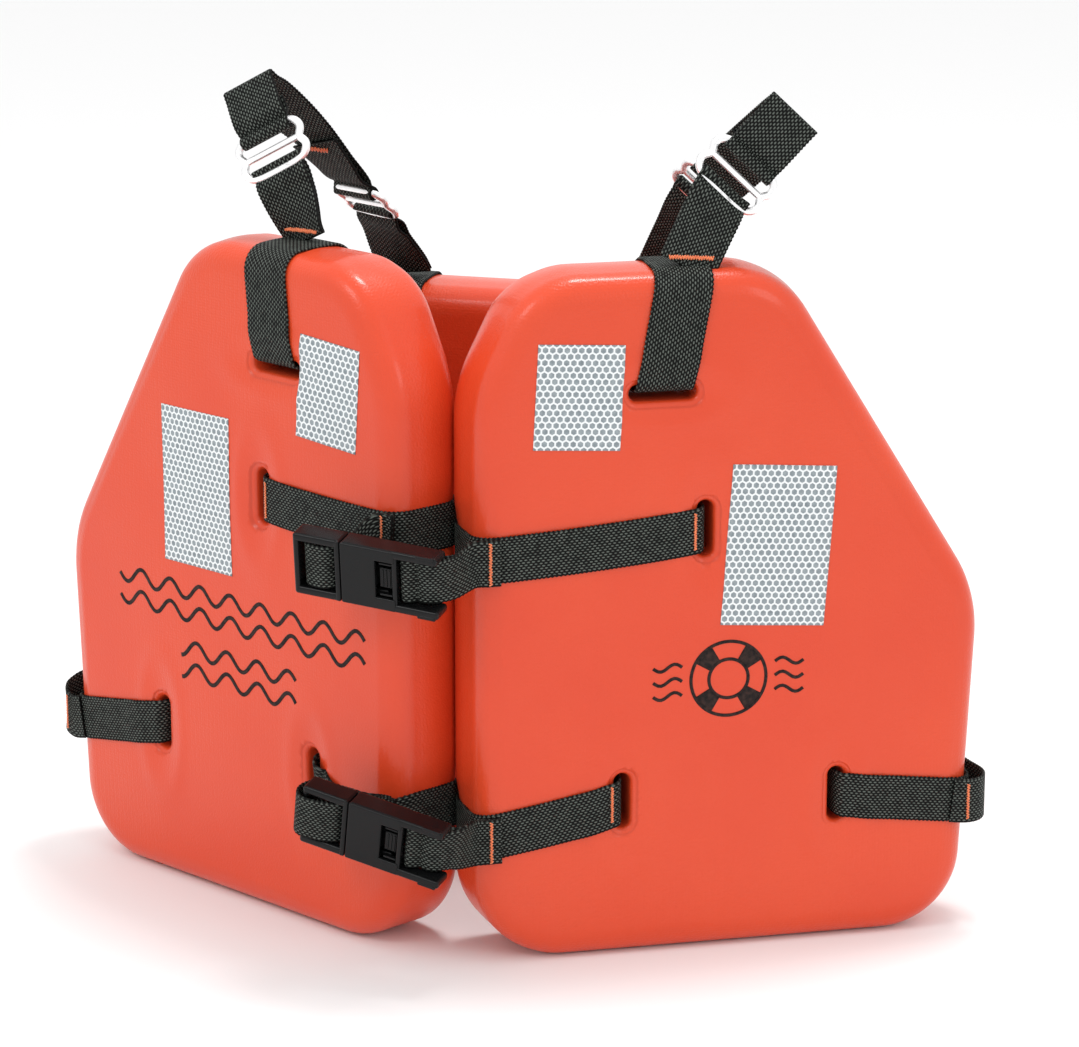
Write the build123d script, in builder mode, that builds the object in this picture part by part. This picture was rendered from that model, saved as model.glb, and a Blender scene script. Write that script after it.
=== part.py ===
from build123d import *
import os
from math import cos, radians, sin

os.makedirs("parts", exist_ok=True)

# Everything is in millimetres, +Z up, the wearer faces -Y and the wearer's left is +X.
# The origin is on the ground, in the middle of the whole vest.
front_y = -99.045  # where the inner front corners of the two front panels lie
middle_x = -3.95  # the vest's middle plane; the wearer's right panel stands a little closer in
back_x = middle_x - 6.0  # the back panel hangs a little to the wearer's right

# front panels
panel_depth = 50.0
edge_round = 13.0
corner_x = 22.0
panel_turn = 28.0
skin = 1.2
foam_gap = 0.3
front_corners = {
    1: [(0, 0), (0, 318), (30, 380), (168, 380), (284, 192), (275, 0)],
    -1: [(0, 0), (0, 318), (30, 380), (162, 380), (275, 192), (266, 0)],
}
front_rounds = [50, 90, 45, 50, 80, 45]
# the slots sit a little differently on the wearer's left (1) and right (-1) panel
chest_slot = {1: (126, 240), -1: (105, 243)}
waist_slot = {1: (81, 89), -1: (68, 90)}
side_slot = {1: (202, 84), -1: (192, 93)}
shoulder_slot = {1: (102, 316), -1: (92, 318)}
slot_length = 31.0
slot_width = 9.0
shoulder_slot_length = 37.0

# back panel
back_front = 185.0
back_half = 158.0
back_high = 335.0
back_corners = [(-150, 0), (-158, 165), (-100, 335), (100, 335), (158, 165), (150, 0)]
back_rounds = [45, 80, 45, 45, 80, 45]
back_side_slot = 108.0
back_top_slot = 288.0
back_loop_x = 75.0

# webbing, bars and slides
web_wide = 25.4
shoulder_wide = 31.75
web_thick = 1.5
web_off = 1.05  # from a face to the middle of the web lying on it
turn_round = 3.1  # middle of a web that turns round a bar
bar = 1.6
slide_long = 24.0
slide_wide = 38.4

# shoulder straps, for the wearer's left (1) and right (-1)
apex = {1: (168.0, 100.0, 458.0), -1: (-135.0, 100.0, 461.0)}
rear_foot = {1: (69.0, 210.0, 340.0), -1: (-81.0, 210.0, 340.0)}
side_joint = {1: (170.0, 191.0, 84.0), -1: (-182.0, 191.0, 93.0)}
adjuster_share = 0.6
rear_slide_share = {1: 0.5, -1: 0.66}

# buckles
buckle_long = 84.0
buckle_high = 36.0
buckle_thick = 13.0
buckles = {
    "upper": {"at": (-30.0, -21.0, 226.0), "yaw": 8.0, "droop": 4.0, "lean": 12.0},
    "lower": {"at": (-28.0, -23.0, 81.0), "yaw": 8.0, "droop": 11.0, "lean": 12.0},
}

side_name = {1: "left", -1: "right"}
turn_cos = cos(radians(panel_turn))
turn_sin = sin(radians(panel_turn))


def ground(point):
    """A point given from the front corners, moved to the origin of the part."""
    return Vector(point[0] + middle_x, point[1] + front_y, point[2])


def panel_point(side, u, v, w):
    """u outward from the inner edge, v back from the front face, w up."""
    x = middle_x + side * (corner_x + u * turn_cos - v * turn_sin)
    return Vector(x, front_y + u * turn_sin + v * turn_cos, w)


def face_plane(side, depth):
    """The front face of a front panel, moved back by depth."""
    return Plane(
        origin=panel_point(side, 0, depth, 0),
        x_dir=(turn_cos, side * turn_sin, 0),
        z_dir=(side * turn_sin, -turn_cos, 0),
    )


def level_plane(side, w):
    """A level plane with u and v as its own directions."""
    return Plane(
        origin=panel_point(side, 0, 0, w),
        x_dir=(turn_cos, side * turn_sin, 0),
        z_dir=(0, 0, 1),
    )


def front_slots(side, grow):
    for slot in (chest_slot, waist_slot, side_slot):
        with Locations((side * slot[side][0], slot[side][1])):
            SlotOverall(slot_length + 2 * grow, slot_width + 2 * grow, rotation=90)
    with Locations((side * shoulder_slot[side][0], shoulder_slot[side][1])):
        SlotOverall(shoulder_slot_length + 2 * grow, slot_width + 2 * grow)


def back_slots(grow):
    for side in (1, -1):
        with Locations((side * back_side_slot, side_slot[side][1])):
            SlotOverall(slot_length + 2 * grow, slot_width + 2 * grow, rotation=90)
        with Locations((side * back_loop_x, back_top_slot)):
            SlotOverall(shoulder_slot_length + 2 * grow, slot_width + 2 * grow)


def back_plane(depth):
    """The face of the back panel that looks at the wearer, moved back by depth."""
    return Plane(
        origin=(back_x, front_y + back_front + depth, 0),
        x_dir=(1, 0, 0),
        z_dir=(0, -1, 0),
    )


def pad(plane, corners, rounds, side, inset, cut):
    """A soft-edged pad, inset evenly from the outer shape, with its slots cut."""
    with BuildPart() as block:
        with BuildSketch(plane):
            with BuildLine():
                points = [(side * u, w) for u, w in corners]
                FilletPolyline(*points, radius=rounds, close=True)
            make_face()
            if inset:
                offset(amount=-inset, kind=Kind.ARC, mode=Mode.REPLACE)
        extrude(amount=-(panel_depth - 2 * inset))
        ends = block.faces().sort_by(SortBy.AREA)[-2:]
        fillet(ends.edges(), radius=edge_round - inset)
        with BuildSketch(plane):
            cut(inset)
        extrude(amount=-panel_depth, mode=Mode.SUBTRACT)
    return block.part


def shell_and_core(name, plane_at, corners, rounds, side, cut):
    """The dipped skin as a hollow shell, and the foam sealed inside it."""
    outer = pad(plane_at(0), corners, rounds, side, 0, cut)
    hollow = pad(plane_at(skin), corners, rounds, side, skin, cut)
    with BuildPart() as shell:
        add(outer)
        add(hollow, mode=Mode.SUBTRACT)
    save(shell, name + "_skin")
    inset = skin + foam_gap
    with BuildPart() as core:
        add(pad(plane_at(inset), corners, rounds, side, inset, cut))
    save(core, name + "_foam")


def save(piece, name):
    piece.part.label = name
    export_step(piece.part, "parts/" + name + ".step")


def web_ring(plane, slot_at, edge, depth, wide):
    """A web through a slot and round the edge of a pad, as a closed band."""
    with BuildPart() as band:
        with BuildSketch(plane):
            with BuildLine() as line:
                FilletPolyline(
                    (slot_at, -web_off),
                    (edge, -web_off),
                    (edge, depth + web_off),
                    (slot_at, depth + web_off),
                    radius=[4, edge_round + web_off, edge_round + web_off, 4],
                    close=True,
                )
            trace(line.line, line_width=web_thick)
        extrude(amount=wide)
    return band.part


def loop_plane(bar_at, toward, along_bar, wide=web_wide):
    """The plane that cuts a strap loop lengthwise: origin on the bar."""
    across = along_bar.normalized()
    run = toward - bar_at
    run = (run - across * run.dot(across)).normalized()
    return Plane(origin=bar_at - across * (wide / 2), x_dir=run, z_dir=across)


def web_loop(plane, length, floor=0, wide=web_wide):
    """Two layers of web joined by a turn round a bar at the origin, cut level at floor."""
    with BuildPart() as loop:
        with BuildSketch(plane):
            with BuildLine() as line:
                FilletPolyline(
                    (length, turn_round),
                    (-turn_round, turn_round),
                    (-turn_round, -turn_round),
                    (length, -turn_round),
                    radius=turn_round - 0.05,
                )
            trace(line.line, line_width=web_thick)
        extrude(amount=wide)
        if floor:
            split(bisect_by=Plane.XY.offset(floor), keep=Keep.TOP)
    return loop.part


def slide_frame(name, plane):
    """A cast slide with two windows and three bars."""
    with BuildPart() as frame:
        with BuildSketch(plane.offset(-bar)):
            RectangleRounded(slide_long, slide_wide, 3)
            window = slide_long / 2 - 3 * bar
            with Locations((bar + window / 2, 0), (-bar - window / 2, 0)):
                Rectangle(window, slide_wide - 4 * bar + 2, mode=Mode.SUBTRACT)
        extrude(amount=2 * bar)
    save(frame, name)


# ------------------------------------------------------------------ panels
for side in (1, -1):
    shell_and_core(
        side_name[side] + "_front",
        lambda depth: face_plane(side, depth),
        front_corners[side],
        front_rounds,
        side,
        lambda grow: front_slots(side, grow),
    )
shell_and_core("back", back_plane, back_corners, back_rounds, 1, back_slots)

# ------------------------------------------------------------------ reflective patches
patch_thick = 0.4
patches = {
    ("upper_patch", 1): {"at": (56, 316), "size": (47, 57), "turn": -3.0},
    ("lower_patch", 1): {"at": (166, 229), "size": (58, 89), "turn": -4.0},
    ("upper_patch", -1): {"at": (50, 310), "size": (45, 57), "turn": -4.0},
    ("lower_patch", -1): {"at": (156, 238), "size": (56, 90), "turn": 0.5},
}
for (name, side), patch in patches.items():
    with BuildPart() as tape:
        with BuildSketch(face_plane(side, 0)):
            with Locations((side * patch["at"][0], patch["at"][1])):
                Rectangle(*patch["size"], rotation=patch["turn"])
        extrude(amount=patch_thick)
    save(tape, side_name[side] + "_" + name)

# ------------------------------------------------------------------ belts on the panels
for side in (1, -1):
    for name, slot in (("chest_web", chest_slot), ("waist_web", waist_slot)):
        plane = level_plane(side, slot[side][1] - web_wide / 2)
        with BuildPart() as belt:
            add(web_ring(plane, side * slot[side][0], -side * web_off, panel_depth, web_wide))
        save(belt, side_name[side] + "_" + name)

# ------------------------------------------------------------------ side straps
side_edge = {1: 280.2, -1: 271.9}
for side in (1, -1):
    low = side_slot[side][1] - web_wide / 2
    plane = level_plane(side, low)
    joint = ground(side_joint[side])
    edge = side * (side_edge[side] + web_off)
    start = panel_point(side, side_edge[side] - 16, panel_depth + web_off, 0)
    run = Vector(joint.X - start.X, joint.Y - start.Y, 0).normalized()
    with BuildPart() as strap:
        add(web_ring(plane, side * side_slot[side][0], edge, panel_depth, web_wide))
        with BuildSketch(Plane.XY.offset(low)):
            with BuildLine() as line:
                stop = Vector(joint.X, joint.Y, 0) - run * 1.5
                Line((start.X, start.Y), (stop.X, stop.Y))
            trace(line.line, line_width=web_thick)
        extrude(amount=web_wide)
    save(strap, side_name[side] + "_side_web")

    back_edge = side * (back_half + web_off - 2.5)
    flat = Plane(origin=(back_x, front_y + back_front, low), x_dir=(1, 0, 0), z_dir=(0, 0, 1))
    with BuildPart() as strap:
        add(web_ring(flat, side * back_side_slot, back_edge, panel_depth, web_wide))
        with BuildSketch(Plane.XY.offset(low)):
            with BuildLine() as line:
                stop = Vector(joint.X, joint.Y, 0) + run * 1.5
                Line((stop.X, stop.Y), (back_x + back_edge, front_y + back_front + 20))
            trace(line.line, line_width=web_thick)
        extrude(amount=web_wide)
    save(strap, "back_" + side_name[side] + "_side_web")

# ------------------------------------------------------------------ shoulder straps
for side in (1, -1):
    name = side_name[side]
    slot_u, slot_w = shoulder_slot[side]
    foot = panel_point(side, slot_u, panel_depth / 2, 381)
    top = ground(apex[side])
    rest = ground(rear_foot[side])
    rear = top + (rest - top) * rear_slide_share[side]
    down = (foot - top).normalized()
    aft = (rear - top).normalized()
    across = down.cross(aft).normalized()
    reach = (foot - top).length
    middle = foot + (top - foot) * adjuster_share
    bar_step = slide_long / 2 - bar

    # front loop: slot, front face, over the top edge, up to the adjuster
    low_bar = middle + down * bar_step
    with BuildPart() as strap:
        side_plane = Plane(
            origin=panel_point(side, slot_u - side * shoulder_wide / 2, 0, 0),
            x_dir=(0, 0, 1),
            z_dir=(turn_cos, side * turn_sin, 0),
        )
        with BuildSketch(side_plane):
            with BuildLine() as line:
                FilletPolyline(
                    (slot_w, web_off),
                    (front_corners[side][2][1] + web_off, web_off),
                    (front_corners[side][2][1] + web_off, -panel_depth - web_off),
                    (slot_w, -panel_depth - web_off),
                    radius=[4, edge_round + web_off, edge_round + web_off, 4],
                    close=True,
                )
            trace(line.line, line_width=web_thick)
        extrude(amount=shoulder_wide)
        length = (foot - low_bar).length + 16
        add(web_loop(loop_plane(low_bar, foot, across, shoulder_wide), length, foot.Z + 0.05, shoulder_wide))
    save(strap, name + "_shoulder_web")

    # the adjuster
    slide_frame(name + "_adjuster", Plane(origin=middle, x_dir=down, z_dir=across.cross(down)))

    # the strap over the shoulder, turned round a bar at each end
    bend = down.cross(aft).length
    outer = (down + aft) * (-turn_round / bend)
    flat = Plane(origin=top - across * (shoulder_wide / 2), x_dir=down, z_dir=across)
    upper_bar = reach * (1 - adjuster_share) - bar_step
    rear_bar = (rear - top).length - bar_step
    side_of = flat.to_local_coords(top + aft * 10).Y
    turn = 1 if side_of > 0 else -1

    def leg(direction, distance, shift):
        """A point down one leg of the strap, shifted toward the other leg."""
        spot = top + direction * distance
        other = aft if direction is down else down
        inward = (other - direction * other.dot(direction)).normalized()
        local = flat.to_local_coords(spot + inward * shift)
        return (local.X, local.Y)

    fold = flat.to_local_coords(top + outer)
    with BuildPart() as strap:
        with BuildSketch(flat):
            with BuildLine() as line:
                FilletPolyline(
                    leg(down, upper_bar - 14, turn_round),
                    leg(down, upper_bar + turn_round, turn_round),
                    leg(down, upper_bar + turn_round, -turn_round),
                    (fold.X, fold.Y),
                    leg(aft, rear_bar + turn_round, -turn_round),
                    leg(aft, rear_bar + turn_round, turn_round),
                    leg(aft, rear_bar - 40, turn_round),
                    radius=turn_round - 0.05,
                )
            trace(line.line, line_width=web_thick)
        extrude(amount=shoulder_wide)
    save(strap, name + "_shoulder_strap")

    # the rear slide and the loop that hangs below it
    slide_frame(name + "_rear_slide", Plane(origin=rear, x_dir=aft, z_dir=across.cross(aft)))
    rear_low = rear + aft * bar_step
    with BuildPart() as strap:
        length = (rest - rear_low).length + 12
        add(web_loop(loop_plane(rear_low, rest, across, shoulder_wide), length, rest.Z + 3, shoulder_wide))
    save(strap, name + "_rear_loop")

    # the band round the top of the back panel
    with BuildPart() as strap:
        upright = Plane(
            origin=(back_x + side * back_loop_x - shoulder_wide / 2, front_y + back_front, 0),
            x_dir=(0, 0, 1),
            z_dir=(1, 0, 0),
        )
        with BuildSketch(upright):
            with BuildLine() as line:
                FilletPolyline(
                    (back_top_slot, web_off),
                    (back_high + web_off, web_off),
                    (back_high + web_off, -panel_depth - web_off),
                    (back_top_slot, -panel_depth - web_off),
                    radius=[4, edge_round + web_off, edge_round + web_off, 4],
                    close=True,
                )
            trace(line.line, line_width=web_thick)
        extrude(amount=shoulder_wide)
    save(strap, "back_" + name + "_loop_web")

# ------------------------------------------------------------------ buckles
for name, spec in buckles.items():
    yaw, droop, lean = radians(spec["yaw"]), radians(spec["droop"]), radians(spec["lean"])
    run = Vector(cos(yaw) * cos(droop), -sin(yaw) * cos(droop), -sin(droop))
    face = Vector(-sin(yaw) * cos(lean), -cos(yaw) * cos(lean), -sin(lean))
    face = (face - run * face.dot(run)).normalized()
    centre = ground(spec["at"])
    plane = Plane(origin=centre, x_dir=run, z_dir=face)
    half = buckle_thick / 2

    # socket: two rails, a hollow for the prongs, a recess over the release and a web bar
    with BuildPart() as socket:
        with BuildSketch(plane.offset(-half)):
            with Locations((14, 0)):
                Rectangle(56, buckle_high)
        extrude(amount=buckle_thick)
        fillet(socket.edges().filter_by(Axis(centre, run)), radius=2)
        with BuildSketch(plane.offset(-4)):
            with Locations((0.5, 0)):
                Rectangle(30, 26)
        extrude(amount=8, mode=Mode.SUBTRACT)
        with BuildSketch(plane.offset(-half)):
            with Locations((32, 0)):
                Rectangle(29, 28)
        extrude(amount=buckle_thick, mode=Mode.SUBTRACT)
        with BuildSketch(plane):
            with Locations((11, 0)):
                Rectangle(9, 15)
        extrude(amount=half, mode=Mode.SUBTRACT)
        with BuildSketch(Plane(origin=centre + run * 22.3, x_dir=run, z_dir=plane.y_dir)):
            Circle(bar)
        extrude(amount=14.5, both=True)
    save(socket, name + "_buckle_socket")

    # plug: rails, two web bars and two side prongs
    with BuildPart() as plug:
        with BuildSketch(plane.offset(-half)):
            with Locations((-28.2, 0)):
                Rectangle(27.6, buckle_high)
        extrude(amount=buckle_thick)
        fillet(plug.edges().filter_by(Axis(centre, run)), radius=2)
        with BuildSketch(plane.offset(-half)):
            with Locations((-28, 0)):
                Rectangle(21, 28)
        extrude(amount=buckle_thick, mode=Mode.SUBTRACT)
        with BuildSketch(Plane(origin=centre - run * 26, x_dir=run, z_dir=plane.y_dir)):
            Circle(bar)
        extrude(amount=14.5, both=True)
        with BuildSketch(plane.offset(-2.5)):
            with Locations((-1.5, 10), (-1.5, -10)):
                Rectangle(27, 4)
        extrude(amount=5)
    save(plug, name + "_buckle_plug")

    # release tongue between the prongs, with its thumb pad in the recess
    with BuildPart() as tongue:
        with BuildSketch(plane.offset(-2)):
            with Locations((0.9, 0)):
                Rectangle(29, 12)
        extrude(amount=3.2)
        with BuildSketch(plane.offset(-1)):
            with Locations((11, 0)):
                Rectangle(8, 12)
        extrude(amount=4.6)
    save(tongue, name + "_buckle_tongue")

    # web loop from the socket to the wearer's left panel
    bar_at = centre + run * 22.3
    knot = panel_point(1, 9, -7.5, spec["at"][2] - 6)
    with BuildPart() as strap:
        add(web_loop(loop_plane(bar_at, knot, plane.y_dir), (knot - bar_at).length))
    save(strap, name + "_socket_web")

    # web from the wearer's right panel, behind the plug and round its bar
    plug_bar = centre - run * 26
    with BuildPart() as strap:
        add(web_loop(loop_plane(plug_bar, plug_bar - face * 20, plane.y_dir), 8))
    save(strap, name + "_plug_web")
    knot = panel_point(-1, 13, -3.0, spec["at"][2])
    tail = centre - run * 23 - face * (half + 5.5)
    turn_at = centre + run * 3 - face * (half + 5.5)
    with BuildPart() as strap:
        with BuildSketch(Plane.XY.offset(spec["at"][2] + 2 - web_wide / 2)):
            with BuildLine() as line:
                FilletPolyline(
                    (tail.X, tail.Y),
                    (turn_at.X, turn_at.Y),
                    (turn_at.X + 1, turn_at.Y + 7),
                    (knot.X, knot.Y),
                    radius=3,
                )
            trace(line.line, line_width=web_thick)
        extrude(amount=web_wide)
    save(strap, name + "_belt_tail")
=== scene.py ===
import math
import bmesh
import bpy
import mathutils
import numpy as np
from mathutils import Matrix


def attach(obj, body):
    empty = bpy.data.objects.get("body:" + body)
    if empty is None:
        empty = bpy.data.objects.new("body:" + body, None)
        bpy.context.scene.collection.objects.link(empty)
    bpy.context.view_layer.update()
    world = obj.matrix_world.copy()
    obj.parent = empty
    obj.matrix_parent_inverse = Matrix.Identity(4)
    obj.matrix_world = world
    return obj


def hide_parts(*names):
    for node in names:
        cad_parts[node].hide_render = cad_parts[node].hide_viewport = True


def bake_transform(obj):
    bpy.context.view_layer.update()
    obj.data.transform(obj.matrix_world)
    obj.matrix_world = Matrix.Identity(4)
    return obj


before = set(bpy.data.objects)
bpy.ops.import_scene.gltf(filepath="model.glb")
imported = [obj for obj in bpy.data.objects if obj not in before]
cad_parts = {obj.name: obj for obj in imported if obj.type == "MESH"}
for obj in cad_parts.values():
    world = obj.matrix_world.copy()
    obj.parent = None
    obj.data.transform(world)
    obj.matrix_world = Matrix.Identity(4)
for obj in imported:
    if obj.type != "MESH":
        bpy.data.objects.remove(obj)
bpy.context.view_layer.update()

# the vest's own layout, millimetres; the wearer's left is side 1, the right is side -1
vest = {
    "middleX": -3.95, "frontY": -99.045, "backX": -9.95, "cornerX": 22.0, "turn": 28.0,
    "depth": 50.0, "edge": 13.0, "high": 380,
    "corners": {1: [(0, 0), (0, 318), (30, 380), (168, 380), (284, 192), (275, 0)],
                -1: [(0, 0), (0, 318), (30, 380), (162, 380), (275, 192), (266, 0)]},
    "rounds": [50, 90, 45, 50, 80, 45],
    "backCorners": [(-150, 0), (-158, 165), (-100, 335), (100, 335), (158, 165), (150, 0)],
    "backRounds": [45, 80, 45, 45, 80, 45], "backFront": 185.0, "backHigh": 335.0,
    "chest": {1: (126, 240), -1: (105, 243)}, "waist": {1: (81, 89), -1: (68, 90)},
    "side": {1: (202, 84), -1: (192, 93)}, "shoulder": {1: (102, 316), -1: (92, 318)},
    "backSide": {1: (108, 84), -1: (108, 93)}, "backLoop": {1: (75, 288), -1: (75, 288)},
    "slotLong": 31.0, "topSlotLong": 37.0, "slotWide": 9.0,
}
sideName = {1: "left", -1: "right"}
# how far each belt hangs at its inner edge, and how far it bows below that line between
hang = {("chest", 1): (11, 1), ("chest", -1): (3, 1), ("waist", 1): (16, 1), ("waist", -1): (9, 12)}
tc, ts = math.cos(math.radians(vest["turn"])), math.sin(math.radians(vest["turn"]))


def say(text):
    print("vest:", text)


# the camera, first of all
camera = {"azimuth": 15.4, "elevation": 15.4, "distance": 2064, "aim": 55.1, "height": 249, "lens": 130.1}
az, el = math.radians(camera["azimuth"]), math.radians(camera["elevation"])
back = np.array([math.sin(az) * math.cos(el), -math.cos(az) * math.cos(el), math.sin(el)])
aim = np.array([vest["middleX"] + camera["aim"] * math.cos(az), camera["aim"] * math.sin(az) + vest["frontY"],
                camera["height"]])
camData = bpy.data.cameras.new("camera")
camData.lens, camData.sensor_width, camData.sensor_fit = camera["lens"], 36, "HORIZONTAL"
camData.clip_end = 50
cam = bpy.data.objects.new("camera", camData)
bpy.context.scene.collection.objects.link(cam)
cam.location = (aim + back * camera["distance"]) / 1000
cam.rotation_euler = (math.pi / 2 - el, 0, az)
bpy.context.scene.camera = cam


# places on the panels
def panelPoint(side, u, v, w):
    # u runs outward from the inner edge, v back from the front face, w up
    u, v, w = np.broadcast_arrays(np.asarray(u, float), np.asarray(v, float), np.asarray(w, float))
    x = vest["middleX"] + side * (vest["cornerX"] + u * tc - v * ts)
    return np.stack([x, vest["frontY"] + u * ts + v * tc, w], -1)


def backPoint(side, u, v, w):
    u, v, w = np.broadcast_arrays(np.asarray(u, float), np.asarray(v, float), np.asarray(w, float))
    return np.stack([vest["backX"] + side * u, vest["frontY"] + vest["backFront"] + v, w], -1)


def toGround(p):
    # from the layout's own middle and front to the shared frame
    return np.array([p[0] + vest["middleX"], p[1] + vest["frontY"], p[2]], float)


faceShape = {"crown": 2.4, "phase": {1: 1.7, -1: 4.1}, "slow": (31, 43, 0.35), "quick": (17, 23, 0.2),
             "dimple": (8.0, 19.0), "deep": 1.9, "spread": 1.25, "ridge": 0.7, "ridgeAt": 2.1, "ridgeWide": 0.55}


def faceLift(side, u, w, seat):
    # how far the dipped face stands proud: crown * (1 - across^2) * (1 - up^2), plus two waves that fade with the
    # crown, less a bell-shaped dimple at each slot with a bell-shaped ridge round it
    across = np.clip(1 - ((u - seat["midU"]) / seat["halfU"]) ** 2, 0, 1)
    up = np.clip(1 - ((w - seat["midW"]) / seat["halfW"]) ** 2, 0, 1)
    crown = faceShape["crown"] * across * up
    k = faceShape["phase"][side]
    slowU, slowW, slowHigh = faceShape["slow"]
    quickU, quickW, quickHigh = faceShape["quick"]
    wave = slowHigh * np.sin(u / slowU + k) * np.sin(w / slowW + 2 * k)
    wave = wave + quickHigh * np.sin(u / quickU - w / quickW + k)
    out = crown + wave * np.clip(crown, 0, 1)
    short, long = faceShape["dimple"]
    for su, sw, tall in seat["dimples"]:
        du, dw = (u - su) / (short if tall else long), (w - sw) / (long if tall else short)
        d = np.sqrt(du ** 2 + dw ** 2)
        out = out - faceShape["deep"] * np.exp(-(d / faceShape["spread"]) ** 2)
        out = out + faceShape["ridge"] * np.exp(-((d - faceShape["ridgeAt"]) / faceShape["ridgeWide"]) ** 2)
    return out


frontSlots, backSlots = ("chest", "waist", "side", "shoulder"), ("backSide", "backLoop")
frontSeat = {k: {"midU": 142, "midW": 188, "halfU": 150, "halfW": 198,
                 "dimples": [(*vest[n][k], n != "shoulder") for n in frontSlots]} for k in (1, -1)}
backSeat = {"midU": 0, "midW": 165, "halfU": 165, "halfW": 178,
            "dimples": [(k * vest[n][k][0], vest[n][k][1], n == "backSide") for n in backSlots for k in (1, -1)]}


def liftAt(side, u, w):
    # the front face's lift at one point
    return float(faceLift(side, np.float64(u), np.float64(w), frontSeat[side]))


innerWall = {"swell": 4.0, "start": 8.0, "full": 38.0, "pinch": 0.55, "beltHalf": 20.0}


def innerSwell(side, v, w):
    # how far the inner wall stands out: a smooth step towards the back, a square root fall to nothing at the
    # rear face, and less where a belt pulls it in
    t = np.clip((v - innerWall["start"]) / (innerWall["full"] - innerWall["start"]), 0, 1)
    fall = np.sqrt(np.clip((vest["depth"] - v) / vest["edge"], 0, 1))
    beltAt = [vest[k][side][1] - hang[k, side][0] for k in ("chest", "waist")]
    belts = sum(np.exp(-(((w - at) / innerWall["beltHalf"]) ** 4)) for at in beltAt)
    return innerWall["swell"] * t * t * (3 - 2 * t) * fall * (1 - innerWall["pinch"] * belts)


def onFront(side, u, w, lift=0.0):
    u, w = np.asarray(u, float), np.asarray(w, float)
    return panelPoint(side, u, -(faceLift(side, u, w, frontSeat[side]) + lift), w)


# meshes from grids
def finishMesh(name, verts, faces, material, uv=None):
    mesh = bpy.data.meshes.new(name)
    mesh.from_pydata((np.asarray(verts) / 1000).tolist(), [], faces)
    mesh.polygons.foreach_set("use_smooth", np.full(len(mesh.polygons), True))
    if uv is not None:
        mesh.uv_layers.new(name="along").data.foreach_set("uv", np.asarray(uv, float).ravel())
    mesh.materials.append(material)
    mesh.update()
    obj = bpy.data.objects.new(name, mesh)
    bpy.context.scene.collection.objects.link(obj)
    return obj


def cellQuads(index, nextCol):
    # the four corners of every cell between one row and the next
    return np.stack([index[:-1], nextCol[:-1], nextCol[1:], index[1:]], -1).reshape(-1, 4)


def gridMesh(name, grid, material, closed=True, uv=None, uvSize=(1.0, 1.0), flip=False):
    # a grid of rows by columns; columns close into a ring when closed, and then each end gets one cap;
    # uv is the texture place of every point, with the first column once more at the end of a closed row
    rows, cols = grid.shape[:2]
    index = np.arange(rows * cols).reshape(rows, cols)
    quads = cellQuads(index, np.roll(index, -1, 1)) if closed else cellQuads(index[:, :-1], index[:, 1:])
    if uv is None:
        r, c = np.linspace(0, uvSize[1], rows), np.linspace(0, uvSize[0], cols + 1 if closed else cols)
        uv = np.stack(np.meshgrid(r, c, indexing="ij")[::-1], -1)
    corner = np.stack([uv[:-1, :-1], uv[:-1, 1:], uv[1:, 1:], uv[1:, :-1]], 2).reshape(-1, 4, 2)
    way = -1 if flip else 1
    faces, uvs = quads[:, ::way].tolist(), corner[:, ::way].reshape(-1, 2)
    if closed:
        faces += [index[0][::-way].tolist(), index[-1][::way].tolist()]
        uvs = np.concatenate([uvs, np.zeros((2 * cols, 2))])
    return finishMesh(name, grid.reshape(-1, 3), faces, material, uvs)


def unit(a):
    return a / np.maximum(np.linalg.norm(a, axis=-1, keepdims=True), 1e-9)


def smoothPath(points, step=1.2, extra=None):
    # centripetal Catmull-Rom through the points, resampled evenly by length
    p = np.asarray(points, float)
    e = np.zeros((len(p), 0)) if extra is None else np.asarray(extra, float)
    q = np.concatenate([p, e], 1)
    q = np.concatenate([[2 * q[0] - q[1]], q, [2 * q[-1] - q[-2]]])
    dense = []
    for a, b, c, d in zip(q[:-3], q[1:-2], q[2:-1], q[3:]):
        k = [0.0]
        for m, n in ((a, b), (b, c), (c, d)):
            k.append(k[-1] + max(np.linalg.norm((n - m)[:3]), 1e-6) ** 0.5)
        t = np.linspace(k[1], k[2], 25)[:-1, None]
        a1 = (k[1] - t) / (k[1] - k[0]) * a + (t - k[0]) / (k[1] - k[0]) * b
        a2 = (k[2] - t) / (k[2] - k[1]) * b + (t - k[1]) / (k[2] - k[1]) * c
        a3 = (k[3] - t) / (k[3] - k[2]) * c + (t - k[2]) / (k[3] - k[2]) * d
        b1 = (k[2] - t) / (k[2] - k[0]) * a1 + (t - k[0]) / (k[2] - k[0]) * a2
        b2 = (k[3] - t) / (k[3] - k[1]) * a2 + (t - k[1]) / (k[3] - k[1]) * a3
        dense.append((k[2] - t) / (k[2] - k[1]) * b1 + (t - k[1]) / (k[2] - k[1]) * b2)
    dense = np.concatenate(dense + [q[-2:-1]])
    run = np.concatenate([[0], np.cumsum(np.linalg.norm(np.diff(dense[:, :3], axis=0), axis=1))])
    even = np.linspace(0, run[-1], max(int(run[-1] / step), 6))
    out = np.stack([np.interp(even, run, dense[:, i]) for i in range(dense.shape[1])], 1)
    return out[:, :3], out[:, 3:], run[-1]


# materials
def shaderOf(name, color, rough, metal=0.0, **more):
    mat = bpy.data.materials.new(name)
    mat.use_nodes = True
    tree = mat.node_tree
    bsdf = tree.nodes["Principled BSDF"]
    bsdf.inputs["Base Color"].default_value = (*color, 1)
    bsdf.inputs["Roughness"].default_value = rough
    bsdf.inputs["Metallic"].default_value = metal
    for key, value in more.items():
        bsdf.inputs[key.replace("_", " ")].default_value = value
    return mat, tree, bsdf


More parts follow.
